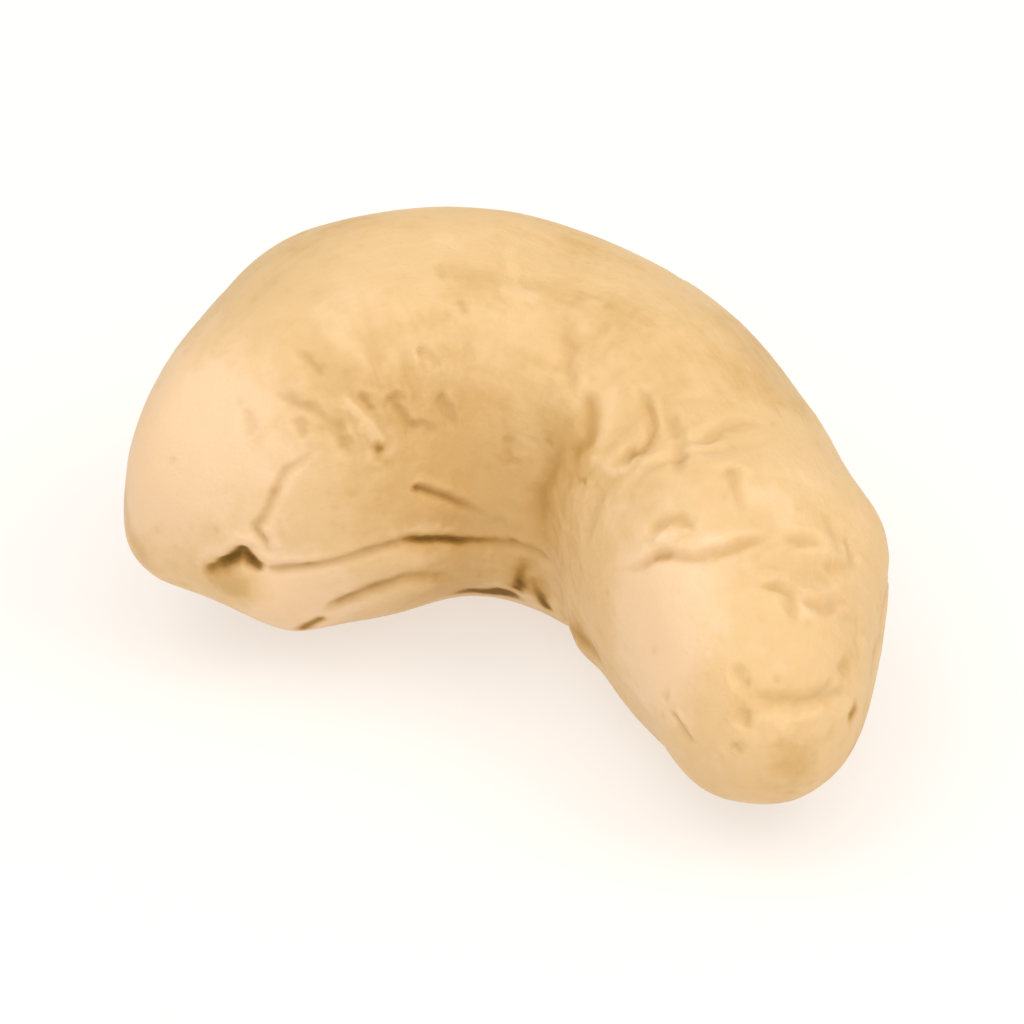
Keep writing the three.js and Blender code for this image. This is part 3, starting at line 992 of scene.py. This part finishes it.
def toasting_and_shading_group():
    """How far each place is toasted: broad zones, some of them painted shade or painted light, clouds, a
    fine mottle, streaks and speckles.
    """
    strengths = {"Cloud Strength": 0.5, "Mottle Strength": 0.25, "Streak Strength": 0.2}
    tree, given = new_tree("toasting", "ShaderNodeTree", {
        "NodeSocketVector": {"Place": None, "Unbent Place": None},
        "NodeSocketFloat": {"Zones": 0.0, **strengths, "Speckle Strength": 0.14},
    }, {"NodeSocketFloat": {"Toasting": None}})
    place, unbent = given["Place"], given["Unbent Place"]
    patterns = [
        noise(tree, place, CLOUD_LENGTH, Detail=2.0),
        noise(tree, place, MOTTLE_LENGTH, Detail=3.0, Roughness=0.6),
        noise(tree, unbent, BROWN_STREAK_LENGTH, stretch=BROWN_STREAK_STRETCH, Detail=3.0),
    ]
    total = maths(tree, "ADD", given["Zones"], MIDDLE_TOASTING)
    for pattern, strength in zip(patterns, strengths):
        swing = maths(tree, "MULTIPLY", maths(tree, "SUBTRACT", pattern, 0.5), 2.0)
        total = maths(tree, "MULTIPLY_ADD", swing, given[strength], total)
    speckle = spread(tree, noise(tree, place, SPECKLE_LENGTH, Detail=1.0), *SPECKLE_BAND)
    total = maths(tree, "MULTIPLY_ADD", speckle, given["Speckle Strength"], total)
    add_node(tree, "NodeGroupOutput", {"Toasting": total})
    return tree


# Size of the patches in which lines are paler or browner, and a band of noise that becomes how
# brown they get
BROWN_PATCH_LENGTH = 0.9 * MM
BROWN_PATCH_BAND = (0.3, 0.65, 0.75, 1.1)


def line_group():
    """How brown the skin is in its creases, folds and pores, from the marks left by the relief.

    The creases' brown is partly toasting and partly painted shade, the darkening in the fold
    valleys and pores is painted shade, and the paling of ridges and lips is a painted highlight.
    """
    marks = {"Browning": 0.0, "Fold Line": 0.0, "Pore": 0.0}
    tree, given = new_tree("brown_lines", "ShaderNodeTree", {
        "NodeSocketVector": {"Place": None},
        "NodeSocketFloat": {**marks, "Fold Strength": 0.22, "Pore Strength": 0.1},
    }, {"NodeSocketFloat": {"Line": None, "Paling": None}})
    patchy = noise(tree, given["Place"], BROWN_PATCH_LENGTH, Detail=3.0)
    patchy = spread(tree, patchy, *BROWN_PATCH_BAND)
    # Fold valleys and pores are darkened, as painted shade
    fold = maths(tree, "MULTIPLY", given["Fold Line"], -1.0)
    fold = maths(tree, "MULTIPLY", fold, given["Fold Strength"])
    pore = maths(tree, "MULTIPLY", given["Pore"], given["Pore Strength"])
    line = maths(tree, "MULTIPLY", given["Browning"], patchy)
    line = maths(tree, "ADD", line, maths(tree, "ADD", fold, pore), clamp=True)
    # Paler where the browning is negative, on raised ridges and lips, as a painted highlight
    paling = maths(tree, "MAXIMUM", maths(tree, "MULTIPLY", given["Browning"], -1.0), 0.0)
    add_node(tree, "NodeGroupOutput", {"Line": line, "Paling": paling})
    return tree


# Size of the waxy grain, of the lengthwise fibres and of the duller patches
GRAIN_LENGTH = 0.22 * MM
FIBRE_LENGTH = 0.16 * MM
FIBRE_STRETCH = (0.18, 1.0, 1.0)
DULL_PATCH_LENGTH = 2.0 * MM


def grain_group():
    """The finest texture of the skin: waxy grain with faint lengthwise fibres."""
    tree, given = new_tree("skin_grain", "ShaderNodeTree", {
        "NodeSocketVector": {"Place": None, "Unbent Place": None},
        "NodeSocketFloat": {"Grain Height": 0.6, "Fibre Height": 0.4},
    }, {"NodeSocketFloat": {"Height": None, "Gloss Loss": None}})
    grain = noise(tree, given["Place"], GRAIN_LENGTH, Detail=4.0, Roughness=0.6)
    fibre = noise(tree, given["Unbent Place"], FIBRE_LENGTH, stretch=FIBRE_STRETCH, Detail=3.0)
    height = maths(tree, "MULTIPLY", grain, given["Grain Height"])
    height = maths(tree, "MULTIPLY_ADD", fibre, given["Fibre Height"], height)
    loss = noise(tree, given["Place"], DULL_PATCH_LENGTH, Detail=3.0)
    add_node(tree, "NodeGroupOutput", {"Height": height, "Gloss Loss": loss})
    return tree


def use_group(tree, group, inputs):
    return add_node(tree, "ShaderNodeGroup", inputs, node_tree=group).outputs


def attribute(tree, name, output="Fac"):
    return add_node(tree, "ShaderNodeAttribute", attribute_name=name).outputs[output]


def colour_ramp(tree, value, stops, interpolation="LINEAR"):
    """The colour that a value picks from stops along a ramp."""
    made = add_node(tree, "ShaderNodeValToRGB", {"Fac": value})
    ramp = made.color_ramp
    ramp.interpolation = interpolation
    places = list(stops)
    ramp.elements[0].position, ramp.elements[1].position = places[0], places[-1]
    for place in places[1:-1]:
        ramp.elements.new(place)
    for element, colour in zip(ramp.elements, stops.values()):
        element.color = colour
    return made.outputs["Color"]


def set_values(node, values):
    for name, value in values.items():
        node.inputs[name].default_value = value


# Flesh colours in linear light, from the palest to the most toasted, which the zones also use for
# painted shade and light, and those of a crease, which also paint the shade in creases, hollows
# and undercuts
FLESH_COLOURS = {
    0.0: (0.76, 0.535, 0.32, 1),
    0.5: (0.68, 0.46, 0.225, 1),
    1.0: (0.57, 0.355, 0.135, 1),
}
CREASE_AND_SHADE_COLOURS = {0.3: (0.45, 0.24, 0.05, 1), 1.0: (0.17, 0.08, 0.008, 1)}

# Browning at which the crease's colour, toasted brown and painted shade, covers the flesh, and how
# much duller it makes the skin
FULL_COVER = 0.55
CREASE_DULLING = 0.35

# Band of the dull patches, and the roughness at its two ends
GLOSS_BAND = (0.3, 0.7, 0.46, 0.62)
GRAIN_DEPTH = 0.035 * MM
FLESH_LIGHT = {
    "Specular IOR Level": 0.35,
    "Subsurface Weight": 0.25,
    "Subsurface Radius": (1.0, 0.55, 0.25),
    "Subsurface Scale": 0.7 * MM,
}


def toasted_skin():
    """Waxy toasted flesh, browner in its zones and creases, partly as painted shade, and paler on its
    ridges as a painted highlight.
    """
    material = bpy.data.materials.new("toasted_kernel")
    material.use_nodes = True
    tree = material.node_tree
    shader = tree.nodes["Principled BSDF"]
    place = add_node(tree, "ShaderNodeTexCoord").outputs["Object"]
    places = {"Place": place, "Unbent Place": attribute(tree, "unbent", "Vector")}
    zones = attribute(tree, "toasting")
    toasting = use_group(tree, toasting_and_shading_group(), {**places, "Zones": zones})
    marks = {"Browning": "browning", "Fold Line": "fold_line", "Pore": "pore"}
    marks = {name: attribute(tree, mark) for name, mark in marks.items()}
    lines = use_group(tree, line_group(), {"Place": place, **marks})
    grain = use_group(tree, grain_group(), places)

    line = lines["Line"]
    # The zones' toasting, with some zones painted shade or light, less the paling of ridges and lips, a
    # painted highlight
    toasting = maths(tree, "SUBTRACT", toasting["Toasting"], lines["Paling"])
    flesh = colour_ramp(tree, toasting, FLESH_COLOURS, "EASE")
    # Crease colour: toasted brown, and painted shade in creases, hollows and undercuts
    brown = colour_ramp(tree, line, CREASE_AND_SHADE_COLOURS)
    cover = spread(tree, line, 0.0, FULL_COVER)
    skin = add_node(tree, "ShaderNodeMix", {0: cover, 6: flesh, 7: brown}, data_type="RGBA")
    dull = spread(tree, grain["Gloss Loss"], *GLOSS_BAND)
    dull = maths(tree, "MULTIPLY_ADD", line, CREASE_DULLING, dull, clamp=True)
    bump = add_node(tree, "ShaderNodeBump", {"Height": grain["Height"], "Distance": GRAIN_DEPTH})
    tree.links.new(skin.outputs[2], shader.inputs["Base Color"])
    tree.links.new(dull, shader.inputs["Roughness"])
    tree.links.new(bump.outputs["Normal"], shader.inputs["Normal"])
    set_values(shader, FLESH_LIGHT)
    return material


def set_on_middle(piece, low, high):
    """Moves the points of a piece so that it lies on the middle of a box, seen from above."""
    points = np.zeros(len(piece.data.vertices) * 3)
    piece.data.vertices.foreach_get("co", points)
    points = points.reshape(-1, 3)
    middle = (points.min(axis=0) + points.max(axis=0)) / 2
    points[:, 0] += (low.x + high.x) / 2 - middle[0]
    points[:, 1] += (low.y + high.y) / 2 - middle[1]
    piece.data.vertices.foreach_set("co", points.ravel())
    piece.data.update()


# The kernel
kernel = kernel_blank()
wires, layer_count, calm_layers = press_lines()
bake_tree(kernel, relief_tree(), {
    "Press Lines": wires,
    "Layer Count": layer_count,
    "Calm Layers": calm_layers,
    "Skin Finish": toasted_skin(),
})
bpy.data.objects.remove(wires)
set_on_middle(kernel, kernel_low, kernel_high)
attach(kernel, "root")
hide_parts("cashew_kernel")

# Camera: the photograph's viewing angle, and the width of the field that it takes in
CAMERA_AZIMUTH = math.radians(30)
CAMERA_ELEVATION = math.radians(36)
CAMERA_DISTANCE = 0.5
FIELD_WIDTH = 31.8 * MM
SENSOR_WIDTH = 36.0
AIM_RIGHT = -1.49 * MM
AIM_UP = 3.78 * MM

picture_right = Vector((math.cos(CAMERA_AZIMUTH), math.sin(CAMERA_AZIMUTH), 0))
towards_camera = Vector((
    math.sin(CAMERA_AZIMUTH) * math.cos(CAMERA_ELEVATION),
    -math.cos(CAMERA_AZIMUTH) * math.cos(CAMERA_ELEVATION),
    math.sin(CAMERA_ELEVATION),
))
picture_up = towards_camera.cross(picture_right)
aim = picture_right * AIM_RIGHT + picture_up * AIM_UP

camera_data = bpy.data.cameras.new("camera")
camera_data.lens = SENSOR_WIDTH * CAMERA_DISTANCE / FIELD_WIDTH
camera_data.sensor_width = SENSOR_WIDTH
camera_data.clip_start = 0.01
camera_data.clip_end = 10
camera = bpy.data.objects.new("camera", camera_data)
camera.location = aim + towards_camera * CAMERA_DISTANCE
camera.rotation_euler = (-towards_camera).to_track_quat("-Z", "Y").to_euler()
bpy.context.scene.collection.objects.link(camera)
bpy.context.scene.camera = camera

# Floor: pale, matt and faintly lit from itself, as a surface that is brighter than the nut
FLOOR_SIZE = 3.0
FLOOR_LIGHT = {
    "Base Color": (0.37, 0.355, 0.34, 1),
    "Roughness": 0.9,
    "Specular IOR Level": 0.0,
    "Emission Color": (1.0, 0.96, 0.915, 1),
    "Emission Strength": 0.6,
}

half = FLOOR_SIZE / 2
floor_corners = [(-half, -half, 0), (half, -half, 0), (half, half, 0), (-half, half, 0)]
floor = new_mesh_object("floor", floor_corners, faces=[(0, 1, 2, 3)])
floor_finish = bpy.data.materials.new("floor_finish")
floor_finish.use_nodes = True
set_values(floor_finish.node_tree.nodes["Principled BSDF"], FLOOR_LIGHT)
floor.data.materials.append(floor_finish)

# Lights
STUDIO_LIGHT = {"Color": (1, 0.99, 0.98, 1), "Strength": 0.45}

# Metres to the right, towards the camera and up, then size, power and colour
SOFTBOXES = {
    "top_softbox": (0.0, 0.1, 0.8, 1.4, 6.5, (1, 0.99, 0.97)),
    "key_softbox": (-0.35, 0.05, 0.5, 0.5, 0.8, (1, 0.98, 0.95)),
    "fill_softbox": (0.4, 0.1, 0.35, 0.4, 1.0, (1, 0.99, 0.97)),
    "front_softbox": (-0.05, 0.8, 0.25, 0.8, 2.3, (1, 0.985, 0.96)),
}

world = bpy.data.worlds.new("studio")
world.use_nodes = True
set_values(world.node_tree.nodes["Background"], STUDIO_LIGHT)
bpy.context.scene.world = world
bpy.context.scene.view_settings.view_transform = "Standard"


def add_softbox(name, right, towards, up, size, power, colour):
    """A square area light, aimed at the kernel."""
    flat_towards = Vector((towards_camera.x, towards_camera.y, 0)).normalized()
    data = bpy.data.lights.new(name, "AREA")
    data.size = size
    data.energy = power
    data.color = colour
    light = bpy.data.objects.new(name, data)
    light.location = picture_right * right + flat_towards * towards + Vector((0, 0, up))
    light.rotation_euler = (-light.location).to_track_quat("-Z", "Y").to_euler()
    bpy.context.scene.collection.objects.link(light)


for name, softbox in SOFTBOXES.items():
    add_softbox(name, *softbox)
